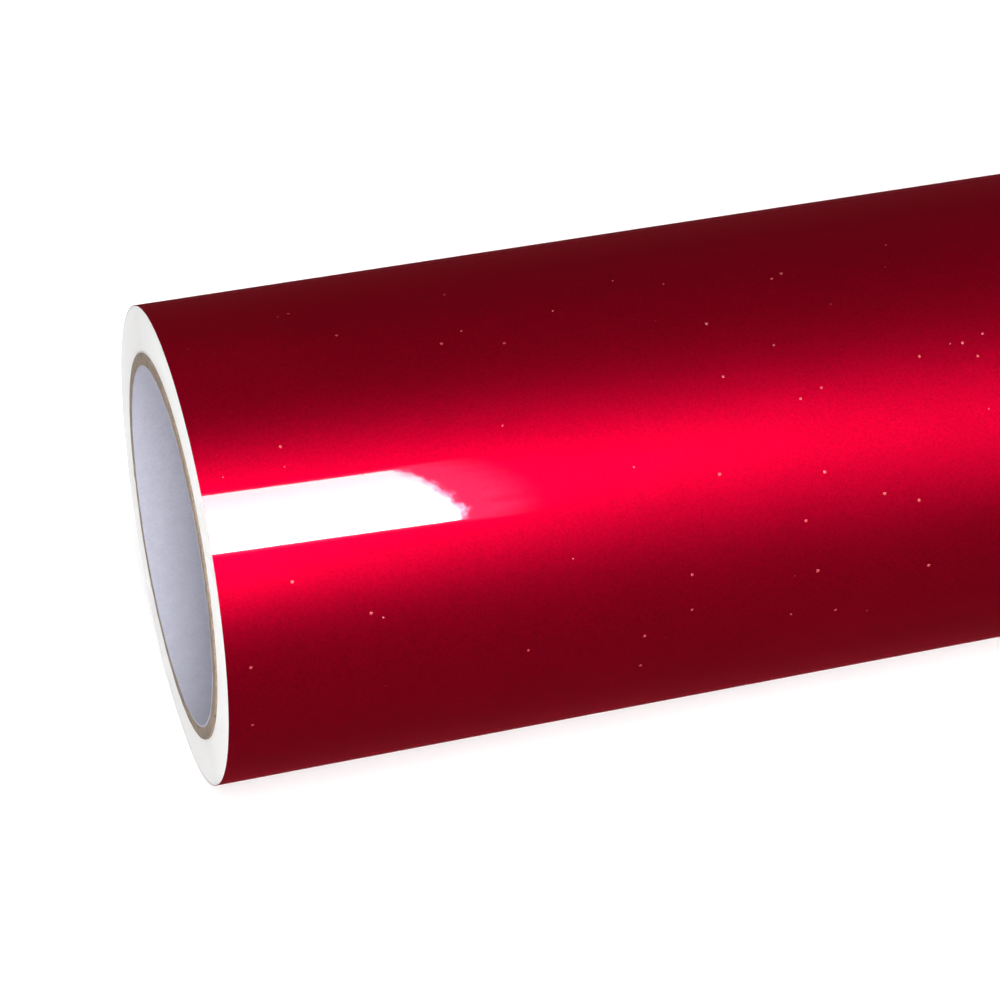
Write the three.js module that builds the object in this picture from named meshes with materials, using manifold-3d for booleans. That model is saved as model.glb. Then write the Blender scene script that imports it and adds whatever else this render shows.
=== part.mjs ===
// A roll of self-adhesive sign vinyl: 10 m of glossy film on a paper liner, 610 mm wide, wound
// film side out on a 3 inch paperboard core. Millimetres, +Z up.
//
// The roll lies on its side with its axis along +X. The origin is on the surface that it lies on,
// under the middle of the roll. +Y is the back, where the web's free end is taped down.
//
// Every outline is drawn in the roll's cross-section, as a radius and an angle about the axis.
// Angles are in degrees from +Y (0, the back) through +Z (90, the top). The web winds outwards as
// its angle falls, so its free end points down at the back.
import * as THREE from "three";
import { mergeVertices } from "three/addons/utils/BufferGeometryUtils.js";
import Module from "manifold-3d";

const wasm = await Module();
wasm.setup();

// The web: self-adhesive film on a release liner.
const WEB_LENGTH = 10000;
const WEB_WIDTH = 610;
const FILM_THICKNESS = 0.13;
const LINER_THICKNESS = 0.13;
const SLACK = 0.015; // between layers that are wound or stuck on each other
const WEB_PITCH = FILM_THICKNESS + LINER_THICKNESS + 2 * SLACK;

// The paperboard core: helical plies glued on each other, with their seams staggered.
const BORE_RADIUS = 38.1; // 3 inch bore
const CORE_PROUD = 0.4; // stands out of the web at both ends
const CORE_WIDTH = WEB_WIDTH + 2 * CORE_PROUD;
const PAPER_PLY = 0.4; // the white lining of the bore, and the smooth kraft outside
const BOARD_PLY = 0.53;
const BOARD_PLIES = 4;
const PLY_LEAD = 190; // travel of a ply along the axis in one turn
const PLY_SEAM = 0.6; // gap where a ply meets its own next turn
const PLY_START = 0.6; // of a turn back from +Y, where the lining's seam meets the left end
const CORE_RADIUS =
  BORE_RADIUS + 2 * (PAPER_PLY + SLACK) + BOARD_PLIES * (BOARD_PLY + SLACK);

// Tape: a strip holds the web's start on the core, and three short pieces hold its free end.
const TAPE_THICKNESS = 0.08;
const START_TAPE_WIDTH = 25;
const START_TAPE_LENGTH = 600;
const START_TAPE_ANGLE = 200;
const END_TAPE_WIDTH = 48; // along the roll
const END_TAPE_HOLD = 18; // length of each half: on the free end, and past it
const END_TAPE_PLACES = { left: -225, middle: 0, right: 225 };

// The roll. Its radius is what the web's length fills.
const TURNS_RADIUS = CORE_RADIUS + TAPE_THICKNESS + SLACK;
const ROLL_RADIUS = Math.sqrt(
  TURNS_RADIUS ** 2 + (WEB_LENGTH * WEB_PITCH) / Math.PI,
);
const FACET = 12; // degrees of arc to each flat of a round outline

// The free end of the web, in rigid lengths that open one after another.
const TAIL_ROOT = 60; // angle where the free end leaves the roll
const TAIL_LENGTHS = 4;
const TAIL_ARC = 24; // degrees of roll that each length covers
const TAIL_END = TAIL_ROOT - TAIL_LENGTHS * TAIL_ARC;
const TAIL_GAP = 0.3; // clearance between lengths, which are one web on the real roll

const LOOKS = {
  film: { color: 0x9c0018, roughness: 0.2, metalness: 0.8 },
  liner: { color: 0xefeeea, roughness: 0.6, metalness: 0 },
  lining: { color: 0xc9cbd6, roughness: 0.8, metalness: 0 },
  kraft: { color: 0x9c8874, roughness: 0.9, metalness: 0 },
  startTape: { color: 0xe8dfb8, roughness: 0.5, metalness: 0 },
  endTape: { color: 0xe9e4d4, roughness: 0.6, metalness: 0 },
};

// Cross-section ------------------------------------------------------------------------------

const { degToRad, radToDeg } = THREE.MathUtils;

// A point of the cross-section.
const polar = (radius, angle) =>
  new THREE.Vector2(
    radius * Math.cos(degToRad(angle)),
    radius * Math.sin(degToRad(angle)),
  );

// Angle that a length along the roll's outer face covers.
const arcOf = (length) => radToDeg(length / ROLL_RADIUS);

// A face is a function from angle to radius. This one is round.
const round = (radius) => () => radius;

// A face of the outermost turn, which runs from TAIL_END + 360 out to the free end at TAIL_END:
// the film's outer face, or one some way further in or out.
const turnFace = (offset) => (angle) =>
  ROLL_RADIUS - (WEB_PITCH * (angle - TAIL_END)) / 360 + offset;

// A face's point at any angle. Round outlines are flats between corners at multiples of FACET,
// so a flat lies at the very bottom and layers stay parallel.
function onFlats(face, angle) {
  const below = Math.floor(angle / FACET + 1e-9) * FACET;
  const a = polar(face(below), below);
  const above = below + FACET;
  const chord = polar(face(above), above).sub(a);
  const ray = polar(1, angle);
  return ray.multiplyScalar(a.cross(chord) / ray.cross(chord));
}

// A face's points between two angles, in order of falling angle.
function trace(face, high, low) {
  const angles = [high];
  const highestCorner = Math.ceil(high / FACET - 1e-9) * FACET - FACET;
  for (let angle = highestCorner; angle > low + 1e-6; angle -= FACET)
    angles.push(angle);
  angles.push(low);
  return angles.map((angle) => onFlats(face, angle));
}

// A stretch of one layer, between two faces and two angles.
const stretch = (inner, outer, high, low) =>
  new THREE.Shape([
    ...trace(outer, high, low),
    ...trace(inner, high, low).reverse(),
  ]);

// Solids -------------------------------------------------------------------------------------

// A cross-section extruded along the axis, with its middle at the place given.
function extruded(shape, width, place = 0) {
  const geometry = new THREE.ExtrudeGeometry(shape, {
    depth: width,
    bevelEnabled: false,
  });
  return geometry.translate(0, 0, place - width / 2);
}

function toSolid(geometry) {
  const bare = new THREE.BufferGeometry();
  bare.setAttribute("position", geometry.getAttribute("position"));
  bare.setIndex(geometry.getIndex());
  const merged = mergeVertices(bare);
  return new wasm.Manifold(
    new wasm.Mesh({
      numProp: 3,
      vertProperties: merged.getAttribute("position").array,
      triVerts: new Uint32Array(merged.getIndex().array),
    }),
  );
}

function toGeometry(solid) {
  const mesh = solid.getMesh();
  const geometry = new THREE.BufferGeometry();
  const vertices = new THREE.BufferAttribute(mesh.vertProperties, 3);
  geometry.setAttribute("position", vertices);
  geometry.setIndex(new THREE.BufferAttribute(mesh.triVerts, 1));
  return geometry;
}

// A flat strip wound as a helix from before one end of the core to past the other.
function helixGeometry(innerRadius, thickness, phase) {
  const turns = Math.ceil(CORE_WIDTH / PLY_LEAD) + 2;
  const steps = (turns * 360) / FACET;
  const positions = [];
  for (let i = 0; i <= steps; i++) {
    const angle = i * FACET;
    const inner = polar(innerRadius, angle);
    const outer = polar(innerRadius + thickness, angle);
    const near = -CORE_WIDTH / 2 + PLY_LEAD * (angle / 360 - 2 + phase);
    const far = near + PLY_LEAD - PLY_SEAM;
    positions.push(inner.x, inner.y, near, outer.x, outer.y, near);
    positions.push(outer.x, outer.y, far, inner.x, inner.y, far);
  }
  const index = [];
  const quad = (a, b, c, d) => index.push(a, b, c, a, c, d);
  for (let i = 0; i < steps; i++)
    for (let corner = 0; corner < 4; corner++) {
      const here = 4 * i + corner;
      const next = 4 * i + ((corner + 1) % 4);
      quad(here, here + 4, next + 4, next);
    }
  const last = 4 * steps;
  quad(0, 1, 2, 3);
  quad(last + 3, last + 2, last + 1, last);
  const geometry = new THREE.BufferGeometry();
  const vertices = new THREE.Float32BufferAttribute(positions, 3);
  geometry.setAttribute("position", vertices);
  geometry.setIndex(index);
  return geometry;
}

// The helix cut square at both ends of the core.
function plyGeometry(innerRadius, thickness, phase) {
  const span = 3 * CORE_RADIUS;
  const coreLength = new THREE.BoxGeometry(span, span, CORE_WIDTH);
  const helix = toSolid(helixGeometry(innerRadius, thickness, phase));
  return toGeometry(helix.intersect(toSolid(coreLength)));
}

// Pieces -------------------------------------------------------------------------------------

function piece(name, geometry, look) {
  const mesh = new THREE.Mesh(geometry, new THREE.MeshStandardMaterial(look));
  mesh.name = name;
  return mesh;
}

// Lining, board and outer ply, from the bore outwards.
function buildCore() {
  const plies = [["core_inner_lining", PAPER_PLY, LOOKS.lining]];
  for (let i = 1; i <= BOARD_PLIES; i++)
    plies.push([`core_board_ply_${i}`, BOARD_PLY, LOOKS.kraft]);
  plies.push(["core_outer_ply", PAPER_PLY, LOOKS.kraft]);

  const core = new THREE.Group();
  let radius = BORE_RADIUS;
  plies.forEach(([name, thickness, look], i) => {
    const phase = (PLY_START + i / plies.length) % 1;
    const geometry = plyGeometry(radius, thickness, phase);
    core.add(piece(name, geometry, look));
    radius += thickness + SLACK;
  });
  return core;
}

function buildStartTape() {
  const half = radToDeg(START_TAPE_WIDTH / 2 / CORE_RADIUS);
  const shape = stretch(
    round(CORE_RADIUS),
    round(CORE_RADIUS + TAPE_THICKNESS),
    START_TAPE_ANGLE + half,
    START_TAPE_ANGLE - half,
  );
  const geometry = extruded(shape, START_TAPE_LENGTH);
  return piece("start_tape", geometry, LOOKS.startTape);
}

// Every turn below the outermost one, as one ring. Its outside steps down past the free end.
function buildWoundTurns() {
  const outside = turnFace(-WEB_PITCH);
  const shape = new THREE.Shape(trace(outside, TAIL_END + 360, TAIL_END));
  const hole = trace(round(TURNS_RADIUS), TAIL_END + 360, TAIL_END);
  shape.holes.push(new THREE.Path(hole.slice(1).reverse()));
  return piece("wound_turns", extruded(shape, WEB_WIDTH), LOOKS.liner);
}

// Film and liner over the same part of the outermost turn, as two pieces.
function buildWeb(label, start, end) {
  const high = start - arcOf(TAIL_GAP / 2);
  const low = end + arcOf(TAIL_GAP / 2);
  const linerTop = -FILM_THICKNESS - SLACK;
  const layers = [
    ["film", 0, -FILM_THICKNESS, LOOKS.film],
    ["liner", linerTop, linerTop - LINER_THICKNESS, LOOKS.liner],
  ];
  return layers.map(([layer, outer, inner, look]) => {
    const shape = stretch(turnFace(inner), turnFace(outer), high, low);
    return piece(`${layer}_${label}`, extruded(shape, WEB_WIDTH), look);
  });
}

// The outermost turn: the part that stays on the roll, then the lengths of the free end.
function buildOutermostTurn() {
  const turn = new THREE.Group();
  turn.add(...buildWeb("last_turn", TAIL_END + 360, TAIL_ROOT));
  for (let k = 0; k < TAIL_LENGTHS; k++) {
    const start = TAIL_ROOT - k * TAIL_ARC;
    turn.add(...buildWeb(`tail_${k + 1}`, start, start - TAIL_ARC));
  }
  return turn;
}

// One piece of tape over the web's edge: an anchor that stays on the free end, and a tab that is
// peeled off the turn below it.
function buildEndTape(label, place) {
  const halves = {
    anchor: TAIL_END + arcOf(END_TAPE_HOLD),
    tab: TAIL_END + 360 - arcOf(TAIL_GAP / 2),
  };
  return Object.entries(halves).map(([half, high]) => {
    const low = high - arcOf(END_TAPE_HOLD - TAIL_GAP / 2);
    const inner = turnFace(SLACK);
    const outer = turnFace(SLACK + TAPE_THICKNESS);
    const shape = stretch(inner, outer, high, low);
    const geometry = extruded(shape, END_TAPE_WIDTH, place);
    return piece(`tape_${half}_${label}`, geometry, LOOKS.endTape);
  });
}

// The roll -----------------------------------------------------------------------------------

const roll = new THREE.Group();
roll.add(buildCore(), buildStartTape(), buildWoundTurns(), buildOutermostTurn());
for (const [label, place] of Object.entries(END_TAPE_PLACES))
  roll.add(...buildEndTape(label, place));

// Lay the cross-section upright across Y and Z, its axis along X, its lowest flat on Z = 0.
const across = new THREE.Matrix4().makeBasis(
  new THREE.Vector3(0, 1, 0),
  new THREE.Vector3(0, 0, 1),
  new THREE.Vector3(1, 0, 0),
);
roll.quaternion.setFromRotationMatrix(across);
const outline = trace(turnFace(0), TAIL_END + 360, TAIL_END);
roll.position.z = -Math.min(...outline.map((point) => point.y));

export default roll;
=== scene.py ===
"""A roll of glossy red sign vinyl on a paperboard core.

It lies on its side, with its free end taped down at the back. The frame is the CAD model's: metres, the
roll's axis along +X, +Z up, and the origin on the ground under its middle. Shapes are drawn about the axis
by radius and angle. Angles are in degrees from +Y (0, the back) through +Z (90, the top), and the web winds
outwards as its angle falls. Colours are linear RGB.
"""

import math

import bmesh
import bpy
import numpy as np
from mathutils import Matrix, Vector


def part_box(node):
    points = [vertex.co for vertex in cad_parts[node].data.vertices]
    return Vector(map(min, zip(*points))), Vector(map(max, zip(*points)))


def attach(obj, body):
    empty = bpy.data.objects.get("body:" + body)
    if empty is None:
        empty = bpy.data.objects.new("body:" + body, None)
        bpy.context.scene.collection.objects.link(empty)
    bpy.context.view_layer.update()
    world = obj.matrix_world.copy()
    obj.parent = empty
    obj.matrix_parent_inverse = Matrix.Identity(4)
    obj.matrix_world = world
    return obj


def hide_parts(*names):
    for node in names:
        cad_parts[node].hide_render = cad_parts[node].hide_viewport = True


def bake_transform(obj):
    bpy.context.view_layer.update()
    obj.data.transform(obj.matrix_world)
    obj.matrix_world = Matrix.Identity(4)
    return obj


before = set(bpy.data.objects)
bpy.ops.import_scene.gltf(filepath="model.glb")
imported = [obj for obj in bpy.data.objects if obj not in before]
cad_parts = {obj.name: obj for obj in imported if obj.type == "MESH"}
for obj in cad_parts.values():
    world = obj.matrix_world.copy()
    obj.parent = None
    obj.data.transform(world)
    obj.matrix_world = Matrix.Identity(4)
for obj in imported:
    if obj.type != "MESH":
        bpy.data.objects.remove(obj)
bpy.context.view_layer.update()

# Sizes, in metres -----------------------------------------------------------------------------

MM = 0.001

WEB_LENGTH = 10.0
FILM_THICKNESS = 0.13 * MM
LINER_THICKNESS = 0.13 * MM
SLACK = 0.015 * MM  # between layers
WEB_PITCH = FILM_THICKNESS + LINER_THICKNESS + 2 * SLACK

PAPER_PLY = 0.40 * MM
BOARD_PLY = 0.53 * MM
BOARD_PLIES = 4
PLY_LEAD = 190 * MM  # travel of a ply along the axis in one turn
PLY_SEAM = 0.6 * MM
PLY_START = 0.6  # of a turn, where the lining starts at the left end

TAPE_THICKNESS = 0.08 * MM
TAPE_HOLD = 18 * MM  # length of each half: on the free end, and past it

TAIL_ROOT = 60  # degrees
TAIL_ARC = 24
TAIL_LENGTHS = 4
TAIL_END = TAIL_ROOT - TAIL_LENGTHS * TAIL_ARC

web_low, web_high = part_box("wound_turns")
core_low, core_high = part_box("core_outer_ply")
LEFT = web_low.x
RIGHT = web_high.x
CORE_LEFT = core_low.x
CORE_RIGHT = core_high.x
AXIS_Z = (core_low.z + core_high.z) / 2
CORE_RADIUS = core_high.y + SLACK
BORE_RADIUS = CORE_RADIUS - 2 * (PAPER_PLY + SLACK) - BOARD_PLIES * (BOARD_PLY + SLACK)
TURNS_RADIUS = CORE_RADIUS + TAPE_THICKNESS + SLACK
ROLL_RADIUS = math.sqrt(TURNS_RADIUS**2 + WEB_LENGTH * WEB_PITCH / math.pi)
INNER_TURNS = (ROLL_RADIUS - TURNS_RADIUS) / WEB_PITCH - 1  # under the outermost turn
FLOOR_Z = AXIS_Z - ROLL_RADIUS + WEB_PITCH * (270 - TAIL_END) / 360


# Shape code -----------------------------------------------------------------------------------


def around(x, radius, angle):
    """Points about the roll's axis, from arrays or numbers that go together."""
    t = np.radians(angle)
    parts = np.broadcast_arrays(x, radius * np.cos(t), AXIS_Z + radius * np.sin(t))
    return np.stack(parts, axis=-1)


def film_face(angle):
    """Radius of the film's outer face on the outermost turn, from TAIL_END + 360 down to TAIL_END."""
    return ROLL_RADIUS - WEB_PITCH * (angle - TAIL_END) / 360


def smoothstep(value, start, end):
    """0 at start and before it, 1 at end and past it, with a smooth change between."""
    t = np.clip((value - start) / (end - start), 0, 1)
    return t * t * (3 - 2 * t)


def waves(seed, *coordinates, count=6):
    """Smooth irregular values of about -1 to 1, with each coordinate in its own typical wavelengths."""
    rng = np.random.default_rng(seed)
    total = 0.0
    for _ in range(count):
        phase = rng.uniform(0, 2 * math.pi)
        for coordinate in coordinates:
            turns = rng.choice([-1, 1]) * rng.uniform(0.5, 1.5)
            phase = phase + 2 * math.pi * turns * coordinate
        total = total + np.sin(phase)
    return total / math.sqrt(count)


def steps_between(start, end, step):
    """Evenly spaced values, but for very short first and last steps that keep shading even at a joint."""
    inner = np.linspace(start, end, max(2, round(abs(end - start) / step) + 1))
    edge = math.copysign(min(0.1, abs(end - start) / 8), end - start)
    return np.concatenate([[start, start + edge], inner[1:-1], [end - edge, end]])


SHARP_ANGLE = math.radians(35)


def swept(name, sections, material):
    """A closed body through sections, an array of (section, corner, xyz), with flat caps at its ends."""
    steps, corners, _ = sections.shape
    numbers = np.arange(steps * corners).reshape(steps, corners)
    following = np.roll(numbers, -1, axis=1)
    walls = [numbers[:-1], following[:-1], following[1:], numbers[1:]]
    faces = np.stack(walls, axis=-1).reshape(-1, 4).tolist()
    faces.append(numbers[0][::-1].tolist())
    faces.append(numbers[-1].tolist())
    mesh = bpy.data.meshes.new(name)
    mesh.from_pydata(sections.reshape(-1, 3).tolist(), [], faces)
    mesh.validate()
    shell = bmesh.new()
    shell.from_mesh(mesh)
    bmesh.ops.recalc_face_normals(shell, faces=shell.faces)
    shell.to_mesh(mesh)
    shell.free()
    mesh.polygons.foreach_set("use_smooth", np.ones(len(mesh.polygons), bool))
    mesh.set_sharp_from_angle(angle=SHARP_ANGLE)
    mesh.materials.append(material)
    made = bpy.data.objects.new(name, mesh)
    bpy.context.scene.collection.objects.link(made)
    return made


# Material code --------------------------------------------------------------------------------


class Nodes:
    """A material whose nodes are made by short calls. Its coordinates are metres on the object."""

    def __init__(self, name):
        self.material = bpy.data.materials.new(name)
        self.material.use_nodes = True
        self.tree = self.material.node_tree
        self.tree.nodes.clear()
        self.output = self.tree.nodes.new("ShaderNodeOutputMaterial")
        self.shader = self.tree.nodes.new("ShaderNodeBsdfPrincipled")
        self.link(self.shader.outputs[0], self.output.inputs["Surface"])
        self.object_place = self.tree.nodes.new("ShaderNodeTexCoord").outputs["Object"]

    def link(self, source, socket):
        self.tree.links.new(source, socket)

    def feed(self, socket, value):
        """A socket takes another node's output or a plain value."""
        if isinstance(value, bpy.types.NodeSocket):
            self.link(value, socket)
        else:
            socket.default_value = value

    def set(self, **values):
        """Sets the shader's inputs, as base_color=..., coat_weight=... ."""
        sockets = {s.name.lower().replace(" ", "_"): s for s in self.shader.inputs}
        for key, value in values.items():
            self.feed(sockets[key], value)

    def math(self, operation, a, b):
        node = self.tree.nodes.new("ShaderNodeMath")
        node.operation = operation
        self.feed(node.inputs[0], a)
        self.feed(node.inputs[1], b)
        return node.outputs[0]

    def stretch(self, vector, scale):
        node = self.tree.nodes.new("ShaderNodeMapping")
        node.inputs["Scale"].default_value = scale
        self.link(vector, node.inputs["Vector"])
        return node.outputs[0]

    def noise(self, vector, scale, detail=2.0, roughness=0.5):
        node = self.tree.nodes.new("ShaderNodeTexNoise")
        node.inputs["Scale"].default_value = scale
        node.inputs["Detail"].default_value = detail
        node.inputs["Roughness"].default_value = roughness
        self.link(vector, node.inputs["Vector"])
        return node.outputs["Fac"]

    def cells(self, vector, scale):
        """Distance from the nearest of scattered points, and a colour of each point's own."""
        node = self.tree.nodes.new("ShaderNodeTexVoronoi")
        node.inputs["Scale"].default_value = scale
        self.link(vector, node.inputs["Vector"])
        return node.outputs["Distance"], node.outputs["Color"]

    def spread(self, value, low, high, to_low, to_high):
        """A smooth change from to_low to to_high as value goes from low to high."""
        node = self.tree.nodes.new("ShaderNodeMapRange")
        node.interpolation_type = "SMOOTHSTEP"
        self.link(value, node.inputs["Value"])
        sockets = ("From Min", "From Max", "To Min", "To Max")
        for socket, number in zip(sockets, (low, high, to_low, to_high)):
            node.inputs[socket].default_value = number
        return node.outputs["Result"]

    def colours(self, factor, *stops):
        """A colour from a factor, with (place, (r, g, b)) stops."""
        ramp = self.tree.nodes.new("ShaderNodeValToRGB")
        elements = ramp.color_ramp.elements
        while len(elements) < len(stops):
            elements.new(0.5)
        for element, (place, colour) in zip(elements, stops):
            element.position = place
            element.color = (*colour, 1.0)
        self.link(factor, ramp.inputs[0])
        return ramp.outputs["Color"]

    def mix(self, factor, a, b):
        node = self.tree.nodes.new("ShaderNodeMix")
        node.data_type = "RGBA"
        self.feed(node.inputs["Factor"], factor)
        colour_inputs = [s for s in node.inputs if s.type == "RGBA"]
        for socket, value in zip(colour_inputs, (a, b)):
            self.feed(socket, value if isinstance(value, bpy.types.NodeSocket) else (*value, 1.0))
        return [s for s in node.outputs if s.type == "RGBA"][0]

    def bump(self, height, distance, strength=1.0, under=None):
        node = self.tree.nodes.new("ShaderNodeBump")
        node.inputs["Strength"].default_value = strength
        node.inputs["Distance"].default_value = distance
        self.link(height, node.inputs["Height"])
        if under is not None:
            self.link(under, node.inputs["Normal"])
        return node.outputs["Normal"]

    def distance(self, vector, point):
        node = self.tree.nodes.new("ShaderNodeVectorMath")
        node.operation = "DISTANCE"
        self.link(vector, node.inputs[0])
        node.inputs[1].default_value = point
        return node.outputs["Value"]

    def distance_from_axis(self):
        return self.distance(self.stretch(self.object_place, (0.0, 1.0, 1.0)), (0.0, 0.0, AXIS_Z))

    def distance_from_origin(self):
        return self.distance(self.object_place, (0.0, 0.0, 0.0))


def red_film():
    """Glossy film: a clear smooth face over fine red metallic flakes, with a little dust on it."""
    n = Nodes("red_film")
    place = n.object_place
    flakes, _ = n.cells(place, 5200)
    grain = n.noise(place, 2600, 3.0, 0.6)
    cloud = n.noise(place, 38, 2.0)
    tone = n.math("ADD", n.math("MULTIPLY", grain, 0.85), n.math("MULTIPLY", cloud, 0.15))
    red = n.colours(tone, (0.30, (0.195, 0.0001, 0.0083)), (0.70, (0.315, 0.0002, 0.0137)))

    spot, spot_tint = n.cells(place, 400)
    bright = n.tree.nodes.new("ShaderNodeSeparateColor")
    n.link(spot_tint, bright.inputs[0])
    size = n.spread(bright.outputs[0], 0.82, 1.0, 0.0, 0.16)
    dust = n.spread(n.math("SUBTRACT", size, spot), 0.0, 0.03, 0.0, 1.0)
    n.set(
        base_color=n.mix(dust, red, (0.44, 0.06, 0.07)),
        metallic=n.spread(dust, 0.0, 1.0, 0.85, 0.6),
        roughness=n.spread(grain, 0.25, 0.75, 0.35, 0.40),
        specular_ior_level=0.0,
        specular_tint=(0.9, 0.005, 0.04, 1.0),
        sheen_weight=0.1,
        sheen_roughness=0.45,
        sheen_tint=(1.0, 0.025, 0.06, 1.0),
        coat_weight=1.0,
        coat_roughness=0.015,
        coat_ior=1.5,
    )
    flake_tilt = n.bump(flakes, 0.00004, 0.27)
    n.set(normal=n.bump(dust, 0.00006, 0.6, under=flake_tilt))
    peel = n.noise(place, 420, 1.0)
    ripple = n.noise(n.stretch(place, (0.5, 1.0, 1.0)), 46, 2.0)
    smooth_face = n.bump(peel, 0.0000012, 1.0, under=n.bump(ripple, 0.000012, 1.0))
    n.set(coat_normal=n.bump(dust, 0.00005, 0.8, under=smooth_face))
    return n.material


def release_liner():
    """White siliconed paper: smooth, a little glossy, with faint fibres."""
    n = Nodes("release_liner")
    fibres = n.noise(n.stretch(n.object_place, (0.35, 1.0, 1.0)), 1800, 4.0, 0.65)
    cloud = n.noise(n.object_place, 160, 3.0)
    tone = n.math("ADD", n.math("MULTIPLY", fibres, 0.6), n.math("MULTIPLY", cloud, 0.4))
    n.set(
        base_color=n.colours(tone, (0.3, (0.80, 0.80, 0.785)), (0.7, (0.88, 0.88, 0.87))),
        roughness=n.spread(cloud, 0.3, 0.7, 0.36, 0.46),
        normal=n.bump(fibres, 0.00001, 0.5),
    )
    return n.material


def web_edge(name, low, high):
    """The cut edge of wound film or liner: off-white, each turn a shade of its own."""
    n = Nodes(name)
    radius = n.distance_from_axis()
    rings = n.tree.nodes.new("ShaderNodeCombineXYZ")
    n.link(radius, rings.inputs[0])
    per_turn = n.noise(rings.outputs[0], 2600, 2.0)
    fibres = n.noise(n.object_place, 2400, 3.0, 0.7)
    tone = n.math("ADD", n.math("MULTIPLY", per_turn, 0.5), n.math("MULTIPLY", fibres, 0.5))
    n.set(
        base_color=n.colours(tone, (0.3, low), (0.7, high)),
        roughness=n.spread(fibres, 0.3, 0.7, 0.6, 0.72),
        specular_ior_level=0.12,
        normal=n.bump(fibres, 0.00002, 0.4),
    )
    return n.material


def board(name, dark, light, specked):
    """Paperboard: short mixed fibres, with darker specks where specked is more than 0."""
    n = Nodes(name)
    fibres = n.noise(n.stretch(n.object_place, (0.5, 1.0, 1.0)), 2600, 5.0, 0.7)
    cloud = n.noise(n.object_place, 420, 3.0)
    speck, _ = n.cells(n.object_place, 900)
    tone = n.math("ADD", n.math("MULTIPLY", fibres, 0.65), n.math("MULTIPLY", cloud, 0.35))
    colour = n.colours(tone, (0.3, dark), (0.7, light))
    specks = n.spread(speck, 0.07, 0.2, specked, 0.0)
    n.set(
        base_color=n.mix(specks, colour, tuple(c * 0.5 for c in dark)),
        roughness=n.spread(cloud, 0.3, 0.7, 0.86, 0.95),
        normal=n.bump(fibres, 0.00005, 0.7),
    )
    return n.material


def crepe_tape(name, dark, light):
    """Paper tape: cream, finely crinkled across its length."""
    n = Nodes(name)
    crinkle = n.noise(n.stretch(n.object_place, (0.25, 1.0, 1.0)), 1500, 3.0, 0.6)
    cloud = n.noise(n.object_place, 210, 3.0)
    tone = n.math("ADD", n.math("MULTIPLY", crinkle, 0.6), n.math("MULTIPLY", cloud, 0.4))
    n.set(
        base_color=n.colours(tone, (0.3, dark), (0.7, light)),
        roughness=n.spread(crinkle, 0.3, 0.7, 0.55, 0.75),
        normal=n.bump(crinkle, 0.00006, 0.7),
    )
    return n.material


FILM = red_film()
LINER = release_liner()
WOUND_FILM = web_edge("wound_film_edge", (0.68, 0.67, 0.66), (0.74, 0.735, 0.73))
WOUND_LINER = web_edge("wound_liner_edge", (0.705, 0.705, 0.70), (0.765, 0.765, 0.76))
KRAFT = board("kraft_board", (0.085, 0.06, 0.042), (0.345, 0.265, 0.197), 0.75)
# The lining's cool blue-grey tint is a painted reflection: it stands in for cool light reflected by the
# white paper ply inside the bore.
LINING = board("bore_lining", (0.30, 0.30, 0.36), (0.375, 0.375, 0.445), 0.1)
START_TAPE = crepe_tape("start_tape", (0.60, 0.52, 0.30), (0.74, 0.67, 0.44))
END_TAPE = crepe_tape("end_tape", (0.62, 0.54, 0.38), (0.78, 0.71, 0.54))


# Core -----------------------------------------------------------------------------------------


def core_ply(node, radius, thickness, phase, material):
    """A strip wound as a helix and cut square at the core's ends, where it is a little uneven."""
    width = PLY_LEAD - PLY_SEAM
    enters = -360 * phase  # where the strip's left edge meets the left end
    first = enters - 360 * width / PLY_LEAD
    last = enters + 360 * (CORE_RIGHT - CORE_LEFT) / PLY_LEAD
    leaves = last - 360 * width / PLY_LEAD
    angles = np.union1d(np.arange(first + 0.1, last - 0.1, 3.0), [enters, leaves, last - 0.1])
    near = CORE_LEFT + PLY_LEAD * (angles - enters) / 360
    far = near + width
    seed = round(radius / MM * 100)
    uneven = MM * np.abs(0.06 * waves(seed, angles / 14) + 0.03 * waves(seed + 1, angles / 4))
    near = np.maximum(near, CORE_LEFT + uneven)
    far = np.maximum(np.minimum(far, CORE_RIGHT - uneven), near + 0.01 * MM)
    corners = [(near, radius), (near, radius + thickness), (far, radius + thickness), (far, radius)]
    sections = np.stack([around(x, r, angles) for x, r in corners], axis=1)
    ply = swept(node + "_strip", sections, material)
    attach(ply, "roll")
    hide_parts(node)


plies = [("core_inner_lining", PAPER_PLY, LINING, "bore_lining")]
for number in range(1, BOARD_PLIES + 1):
    plies.append((f"core_board_ply_{number}", BOARD_PLY, KRAFT, "kraft_board"))
plies.append(("core_outer_ply", PAPER_PLY, KRAFT, "kraft_board"))
ply_radius = BORE_RADIUS
for number, (node, thickness, material, slot) in enumerate(plies):
    core_ply(node, ply_radius, thickness, (PLY_START + number / len(plies)) % 1, material)
    ply_radius += thickness + SLACK

start_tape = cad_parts["start_tape"]
start_tape.data.materials.clear()
start_tape.data.materials.append(START_TAPE)


# Wound turns ----------------------------------------------------------------------------------


def ribbon(name, angles, left, right, bottom, top, material):
    """A ribbon wound about the axis, drawn by its edges' places along X and its faces' radii."""
    corners = [(left, bottom), (left, top), (right, top), (right, bottom)]
    sections = np.stack([around(x, r, angles) for x, r in corners], axis=1)
    return swept(name, sections, material)


def wound_layer(name, inset, outer, thickness, material):
    """One layer of every turn under the outermost one: a spiral ribbon whose edges are a hair uneven."""
    start = TAIL_END + 360
    angles = start + np.arange(0, 360 * INNER_TURNS, 4.0)
    radius = film_face(angles) - outer
    seed = round(outer / MM * 100) + 7
    wander = MM * (0.006 * waves(seed, angles / 2600) + 0.003 * waves(seed + 1, angles / 150))
    left = LEFT + inset + np.abs(wander)
    right = RIGHT - inset - np.abs(wander)
    layer = ribbon(name, angles, left, right, radius - thickness, radius, material)
    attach(layer, "roll")
    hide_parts("wound_turns")


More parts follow.
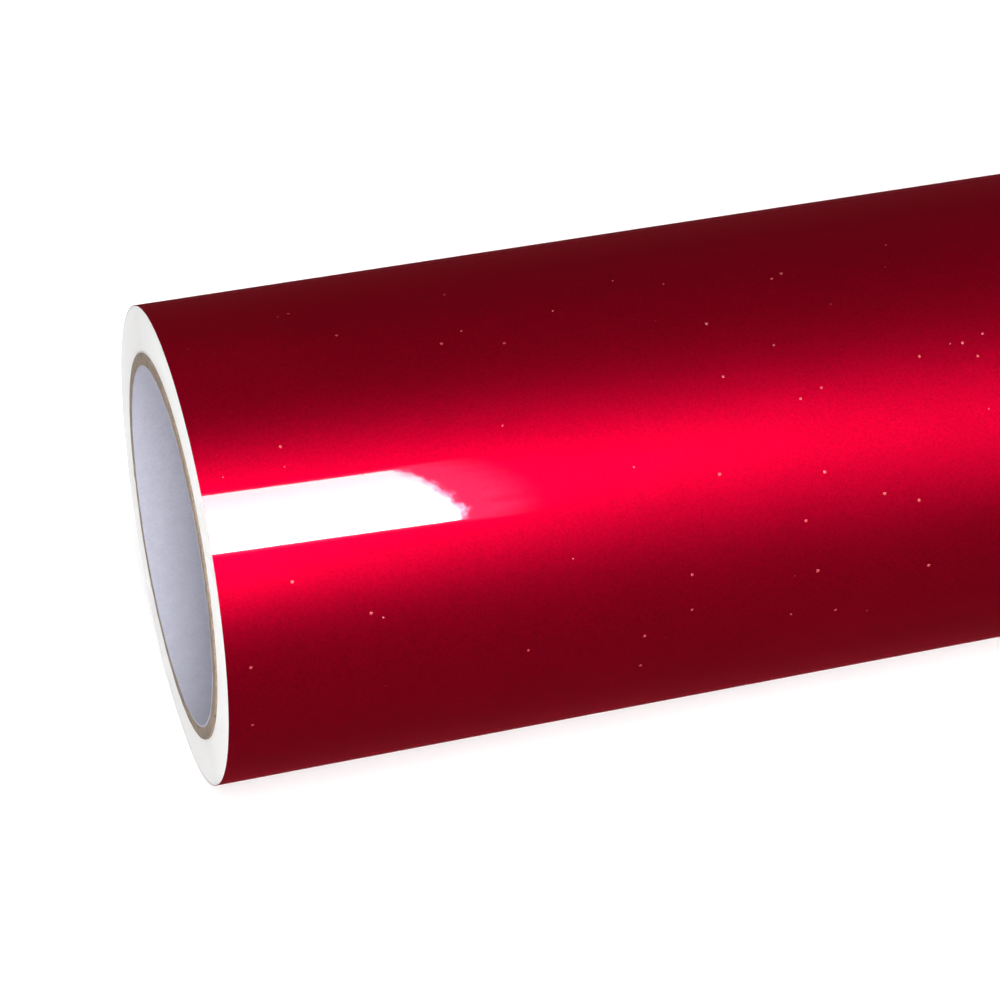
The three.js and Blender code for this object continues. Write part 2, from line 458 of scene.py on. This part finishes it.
FILM_EDGE_INSET = 0.006 * MM
LINER_EDGE_INSET = 0.003 * MM
wound_layer("wound_film", FILM_EDGE_INSET, 0.0, FILM_THICKNESS, WOUND_FILM)
wound_layer("wound_liner", LINER_EDGE_INSET, FILM_THICKNESS + SLACK, LINER_THICKNESS, WOUND_LINER)

BARED_INSET = 0.15 * MM  # from the turn's edges
BARED_PAST_ROOT = 4  # degrees


def film_under_tail():
    """The red face of the turn that shows where the tail is lifted."""
    angles = steps_between(TAIL_ROOT + 360 + BARED_PAST_ROOT, TAIL_END + 360, 1.0)
    bottom = film_face(angles) + 0.1 * SLACK
    top = bottom + 0.5 * SLACK
    face = ribbon("film_under_tail", angles, LEFT + BARED_INSET, RIGHT - BARED_INSET, bottom, top, FILM)
    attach(face, "roll")
    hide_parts("wound_turns")


film_under_tail()


# Outermost turn and free end ------------------------------------------------------------------

TAPE_SIDES = ("left", "middle", "right")
TAPE_BOXES = [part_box(f"tape_tab_{side}") for side in TAPE_SIDES]
TAPE_CENTRES = [(low.x + high.x) / 2 for low, high in TAPE_BOXES]
TAPE_WIDTH = TAPE_BOXES[0][1].x - TAPE_BOXES[0][0].x
TAIL_LIFT = 0.5 * MM  # how far the free edge springs off the roll between the tapes
LIFT_ARC = 9  # degrees


def lifted(x, angle):
    """How far the web stands off the roll near its free edge."""
    nearest = np.min([np.abs(x - centre) for centre in TAPE_CENTRES], axis=0)
    free = smoothstep(nearest, TAPE_WIDTH * 0.5, TAPE_WIDTH * 1.6)
    return TAIL_LIFT * free * np.clip((TAIL_END + LIFT_ARC - angle) / LIFT_ARC, 0, 1) ** 2


def relief(x, angle):
    """Slight unevenness of the wound web, in metres."""
    return 0.004 * MM * waves(3, x / 0.09, angle / 55)


def web_layer(name, high, low, depth, thickness, material, cells):
    """A stretch of film or liner on the outermost turn, from one angle to another."""
    angles = steps_between(high, low, 1.0)
    across = np.linspace(LEFT, RIGHT, cells + 1)
    grid_x, grid_angle = np.meshgrid(across, angles)
    top = film_face(grid_angle) - depth + relief(grid_x, grid_angle) + lifted(grid_x, grid_angle)
    outer = around(grid_x, top, grid_angle)
    inner = around(grid_x, top - thickness, grid_angle)
    sections = np.concatenate([outer, inner[:, ::-1]], axis=1)
    return swept(name, sections, material)


def mid_of_tail(number):
    """The angle of the middle of a tail length, 0 being as far before the root as length 1 is past it."""
    return TAIL_ROOT - TAIL_ARC * (number - 0.5)


def build_web(layer, depth, thickness, material, cells):
    """Film or liner: the part fixed to the roll, then stretches that each span a joint of the tail, and the
    tip on its last length.
    """
    first = TAIL_END + 360
    fixed = web_layer(f"{layer}_outer_turn", first, mid_of_tail(0), depth, thickness, material, cells)
    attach(fixed, "roll")
    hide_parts(f"{layer}_last_turn")
    bodies = ["roll"] + [f"tail_{number}" for number in range(1, TAIL_LENGTHS + 1)]
    for number in range(TAIL_LENGTHS):
        high, low = mid_of_tail(number), mid_of_tail(number + 1)
        name = f"{layer}_bend_{number + 1}"
        stretch = web_layer(name, high, low, depth, thickness, material, cells)
        start = around(0, film_face(high), high)
        end = around(0, film_face(low), low)
        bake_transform(stretch)
        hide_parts(f"{layer}_tail_{number + 1}")
    last = mid_of_tail(TAIL_LENGTHS)
    tip = web_layer(f"{layer}_tip", last, TAIL_END, depth, thickness, material, cells)
    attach(tip, bodies[-1])
    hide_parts(f"{layer}_tail_{TAIL_LENGTHS}")


build_web("film", 0.0, FILM_THICKNESS, FILM, 120)
build_web("liner", FILM_THICKNESS + SLACK, LINER_THICKNESS, LINER, 60)


# End tapes ------------------------------------------------------------------------------------

TAPE_FOLD = (0.5, -3.5)  # degrees from the web's edge, at which two points on the roll are found but not used
TAPE_RAMP = 1.4  # degrees past the web's edge, over which a tape comes down to the turn below


def end_tape(side, centre, seed):
    """A short piece of crepe tape over the web's edge, stepping down to the turn below."""
    hold = math.degrees(TAPE_HOLD / ROLL_RADIUS)
    across = np.linspace(-TAPE_WIDTH / 2, TAPE_WIDTH / 2, 49)
    along = np.linspace(0, 1, 121)
    grid_x, share = np.meshgrid(across, along)
    torn = 0.5 * np.abs(waves(seed, across / 0.004)) + 0.35 * np.abs(waves(seed + 1, across / 0.0013))
    high = TAIL_END + hold - torn
    low = TAIL_END - hold + torn[::-1]
    angle = high + (low - high) * share
    drop = WEB_PITCH * smoothstep(angle, TAIL_END, TAIL_END - TAPE_RAMP)
    crepe = 0.018 * MM * waves(seed + 2, angle / 0.9, grid_x / 0.03) + 0.03 * MM
    puff = 0.05 * MM * np.clip(waves(seed + 3, angle / 11, grid_x / 0.02), 0, 2)
    bottom = film_face(angle) - drop + SLACK + np.abs(puff)
    top = bottom + TAPE_THICKNESS + crepe
    outer = around(grid_x + centre, top, angle)
    inner = around(grid_x + centre, bottom, angle)
    sections = np.concatenate([outer, inner[:, ::-1]], axis=1)
    tape = swept(f"end_tape_{side}", sections, END_TAPE)
    start, end = [around(0, ROLL_RADIUS, TAIL_END + turn) for turn in TAPE_FOLD]
    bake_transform(tape)
    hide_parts(f"tape_anchor_{side}", f"tape_tab_{side}")


for number, side in enumerate(TAPE_SIDES):
    end_tape(side, TAPE_CENTRES[number], 40 + 10 * number)


# Studio ---------------------------------------------------------------------------------------


def stage_card(name, corners, material):
    """A flat card that isn't part of the object."""
    mesh = bpy.data.meshes.new(name)
    mesh.from_pydata([tuple(corner) for corner in corners], [], [(0, 1, 2, 3)])
    mesh.materials.append(material)
    card = bpy.data.objects.new(name, mesh)
    bpy.context.scene.collection.objects.link(card)
    return card


FLOOR_GLOW = (0.2, 0.9)  # near the roll, and far from it
FLOOR_GLOW_PLACES = (0.8, 1.6)


def floor_material():
    n = Nodes("pale_floor")
    cloud = n.noise(n.object_place, 3, 2.0)
    n.set(
        base_color=n.colours(cloud, (0.3, (0.86, 0.86, 0.86)), (0.7, (0.88, 0.88, 0.88))),
        roughness=0.9,
        specular_ior_level=0.1,
        emission_color=(1.0, 1.0, 1.0, 1.0),
        emission_strength=n.spread(n.distance_from_origin(), *FLOOR_GLOW_PLACES, *FLOOR_GLOW),
    )
    return n.material


FLOOR_SIZE = 4.0
floor = stage_card(
    "floor",
    [(x * FLOOR_SIZE, y * FLOOR_SIZE, FLOOR_Z) for x, y in ((-1, -1), (1, -1), (1, 1), (-1, 1))],
    floor_material(),
)
floor.visible_glossy = False

ROOM_LIGHT = 0.012  # strength of the white room for everything but the camera

world = bpy.data.worlds.new("studio")
bpy.context.scene.world = world
world.use_nodes = True
room = world.node_tree
background = room.nodes["Background"]
background.inputs["Color"].default_value = (1.0, 1.0, 1.0, 1.0)
seen = room.nodes.new("ShaderNodeLightPath").outputs["Is Camera Ray"]
strength = room.nodes.new("ShaderNodeMapRange")
strength.inputs["To Min"].default_value = ROOM_LIGHT
strength.inputs["To Max"].default_value = 1.0
room.links.new(seen, strength.inputs["Value"])
room.links.new(strength.outputs["Result"], background.inputs["Strength"])

LEFT_END = Vector((LEFT, 0, AXIS_Z))
LIGHT_DISTANCE = 1.6


class Glow(Nodes):
    """A card's light. A place on the card is (across, up), in metres from the card's middle."""

    def __init__(self, name):
        super().__init__(name)
        place = self.tree.nodes.new("ShaderNodeSeparateXYZ")
        self.link(self.object_place, place.inputs[0])
        self.across, self.up = place.outputs[0], place.outputs[1]
        self.set(base_color=(0.0, 0.0, 0.0, 1.0), specular_ior_level=0.0)
        self.set(emission_color=(1.0, 1.0, 1.0, 1.0))

    def outside(self, start, end):
        """Distance outside a card's side, from one corner to the next one clockwise."""
        length = math.dist(start, end)
        out_x = (start[1] - end[1]) / length
        out_y = (end[0] - start[0]) / length
        part_across = self.math("MULTIPLY", self.across, out_x)
        part_up = self.math("MULTIPLY", self.up, out_y)
        reach = self.math("ADD", part_across, part_up)
        return self.math("SUBTRACT", reach, start[0] * out_x + start[1] * out_y)


def glow_card(name, corners, material, middle, out, up):
    """A card that gives light and isn't seen by the camera. Corners are (across, up) from its middle."""
    card = stage_card(name, [(x, y, 0) for x, y in corners], material)
    turn = Matrix((up.cross(out), up, out)).transposed().to_4x4()
    card.matrix_world = Matrix.Translation(middle) @ turn
    card.visible_camera = False


KEY_ELEVATION = math.radians(41)
KEY_OUT = Vector((0, -math.cos(KEY_ELEVATION), math.sin(KEY_ELEVATION)))
KEY_UP = Vector((0, math.sin(KEY_ELEVATION), math.cos(KEY_ELEVATION)))
KEY_MIDDLE = LEFT_END + KEY_OUT * LIGHT_DISTANCE
KEY_STRENGTHS = (38.0, 20.5)  # below and above the light's middle, at KEY_STRENGTH_PLACES
KEY_STRENGTH_PLACES = (-0.5, 0.5)
KEY_CORNERS = [(0.19, -0.331), (0.19, 0.433), (0.3815, 0.3215), (0.4325, -0.469)]  # clockwise
KEY_RAGGED = 0.014  # width of the soft edge on its right
STROKE_SLANT = 0.055  # how far across the soft edge's streaks go for each metre down
STROKES_PER_METRE = (240.0, 8.0, 1.0)  # across the streaks and along them
SPILL = 0.045  # how far the haze about the light reaches above and below it
SPILL_BESIDE = (0.02, 0.07)  # from where to where the haze fades on the right
SPILL_BEHIND = 0.01
SPILL_CORNERS = [(0.05, -0.75), (0.05, 0.75), (0.56, 0.75), (0.56, -0.75)]
SPILL_STRENGTH = 1.6
SPILL_COLOUR = (1.0, 0.44, 1.0)


def softbox():
    """The main light: sharp above and below, with a ragged soft right side."""
    bottom_left, top_left, top_right, bottom_right = [Vector(corner) for corner in KEY_CORNERS]
    n = Glow("key_softbox")
    strokes = n.tree.nodes.new("ShaderNodeCombineXYZ")
    n.link(n.math("ADD", n.across, n.math("MULTIPLY", n.up, STROKE_SLANT)), strokes.inputs[0])
    n.link(n.up, strokes.inputs[1])
    streaks = n.noise(n.stretch(strokes.outputs[0], STROKES_PER_METRE), 1.0, 3.0, 0.6)
    ragged = n.math("MULTIPLY", n.math("SUBTRACT", streaks, 0.5), 1.6 * KEY_RAGGED)
    edge = n.math("ADD", n.outside(top_right, bottom_right), ragged)
    inside = n.spread(edge, -KEY_RAGGED / 3, KEY_RAGGED * 0.6, 1.0, 0.0)
    full = n.spread(n.up, *KEY_STRENGTH_PLACES, *KEY_STRENGTHS)
    n.set(
        emission_color=n.mix(inside, SPILL_COLOUR, (1.0, 1.0, 1.0)),
        emission_strength=n.math("MAXIMUM", n.math("MULTIPLY", inside, full), SPILL_STRENGTH),
    )
    past_top = top_right + (top_right - top_left).normalized() * 2 * KEY_RAGGED
    past_bottom = bottom_right + (bottom_right - bottom_left).normalized() * 2 * KEY_RAGGED
    corners = [bottom_left, top_left, past_top, past_bottom]
    glow_card("key_softbox", corners, n.material, KEY_MIDDLE, KEY_OUT, KEY_UP)


def softbox_spill():
    """A dim haze just behind the main light, which fades out past its sides."""
    bottom_left, top_left, top_right, bottom_right = KEY_CORNERS
    n = Glow("key_spill")
    above = n.spread(n.outside(top_left, top_right), 0.0, SPILL, 1.0, 0.0)
    below = n.spread(n.outside(bottom_right, bottom_left), 0.0, SPILL, 1.0, 0.0)
    beside = n.spread(n.outside(top_right, bottom_right), *SPILL_BESIDE, 1.0, 0.0)
    dim, bright = 0.7 * SPILL_STRENGTH, 1.4 * SPILL_STRENGTH
    cloud = n.spread(n.noise(n.object_place, 9, 3.0), 0.3, 0.7, dim, bright)
    fade = n.math("MULTIPLY", n.math("MULTIPLY", above, below), beside)
    n.set(emission_color=(*SPILL_COLOUR, 1.0), emission_strength=n.math("MULTIPLY", fade, cloud))
    middle = KEY_MIDDLE + KEY_OUT * SPILL_BEHIND
    glow_card("key_spill", SPILL_CORNERS, n.material, middle, KEY_OUT, KEY_UP)


def panel(name, direction, size, strength):
    """A square light that faces the left end."""
    n = Glow(name)
    n.set(emission_strength=strength)
    out = Vector(direction).normalized()
    up = out.cross(Vector((0, 0, 1)).cross(out).normalized())
    half = size / 2
    corners = [(-half, -half), (-half, half), (half, half), (half, -half)]
    glow_card(name, corners, n.material, LEFT_END + out * LIGHT_DISTANCE, out, up)


def softbox_wing(name, corners, strength):
    """A plain light in the main light's plane, to its left."""
    n = Glow(name)
    n.set(emission_strength=strength)
    glow_card(name, corners, n.material, KEY_MIDDLE, KEY_OUT, KEY_UP)


softbox()
softbox_spill()
softbox_wing("low_softbox", [(-0.5, -1.05), (-0.5, -0.27), (0.08, -0.40), (0.08, -1.05)], 29.0)
softbox_wing("high_softbox", [(-0.5, 0.30), (-0.5, 0.95), (0.08, 0.80), (0.08, 0.20)], 19.0)

panel("upper_left_panel", (-0.62, -0.10, 0.78), 1.0, 0.9)
panel("front_right_panel", (0.80, -0.60, 0.15), 0.9, 10.0)
panel("back_left_panel", (-0.35, 0.5, 0.8), 1.0, 2.4)
panel("back_low_panel", (-0.30, 0.85, 0.22), 1.0, 1.3)
panel("back_right_panel", (0.90, 0.42, 0.20), 1.0, 1.5)


# Camera ---------------------------------------------------------------------------------------

CAMERA_FROM_LEFT_END = Vector((-0.0962, -0.5485, 0.3856))
CAMERA_AZIMUTH = -17.04
CAMERA_ELEVATION = 34.08
CAMERA_LENS = 115.5  # mm, on a sensor 36 mm wide

camera_data = bpy.data.cameras.new("camera")
camera_data.lens = CAMERA_LENS
camera_data.sensor_width = 36
camera_data.clip_start = 0.01
camera = bpy.data.objects.new("camera", camera_data)
camera.location = LEFT_END + CAMERA_FROM_LEFT_END
camera.rotation_euler = (math.radians(90 - CAMERA_ELEVATION), 0, math.radians(CAMERA_AZIMUTH))
bpy.context.scene.collection.objects.link(camera)
bpy.context.scene.camera = camera
bpy.context.scene.view_settings.view_transform = "Standard"
